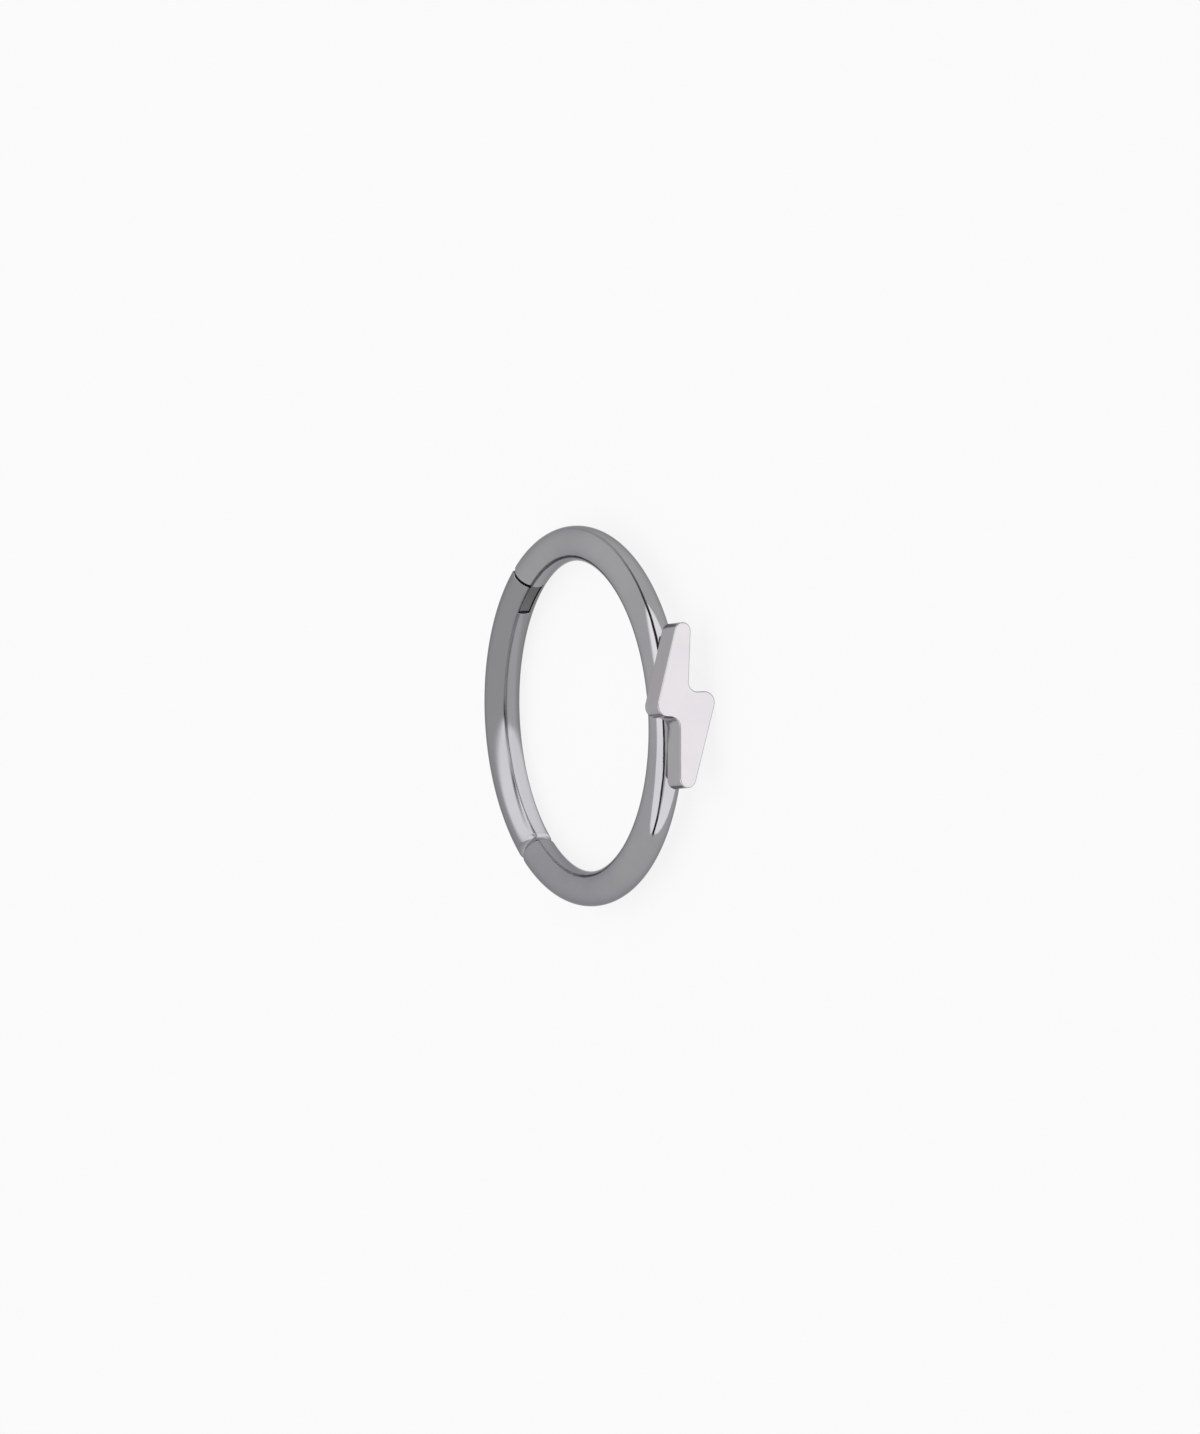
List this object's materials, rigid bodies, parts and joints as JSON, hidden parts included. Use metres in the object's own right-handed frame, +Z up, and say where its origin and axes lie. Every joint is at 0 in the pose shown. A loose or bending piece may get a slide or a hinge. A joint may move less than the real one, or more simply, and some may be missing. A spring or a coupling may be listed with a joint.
{
  "type": "hinged clicker hoop with a lightning bolt",
  "caption": "Polished round-wire clicker hoop for a piercing: hinged gate at the back, snap clasp, and a flat lightning bolt soldered on the outside of the ring.",
  "frame": {"origin": "on the surface that the hoop lies on, under the middle of its bounding box", "axes": "+X points from the ring's middle out through the bolt, +Y points to the hinge's side of the ring, and +Z is up, within 3 degrees of the ring's own axis"},
  "size_m": [0.0118, 0.011, 0.0019],
  "materials": {
    "ring_metal": "high polish",
    "pin_metal": "polished"
  },
  "bodies": {
    "hoop": {"hoop": "ring_metal"},
    "gate": {"gate": "ring_metal", "hinge_pin": "pin_metal"}
  },
  "joints": [
    {"name": "gate_hinge", "type": "hinge", "parent": "hoop", "child": "gate", "pos_m": [-0.00349, 0.00393, 0.00059], "axis": [0.0441, 0, -0.999], "range_deg": [0, 80]}
  ]
}
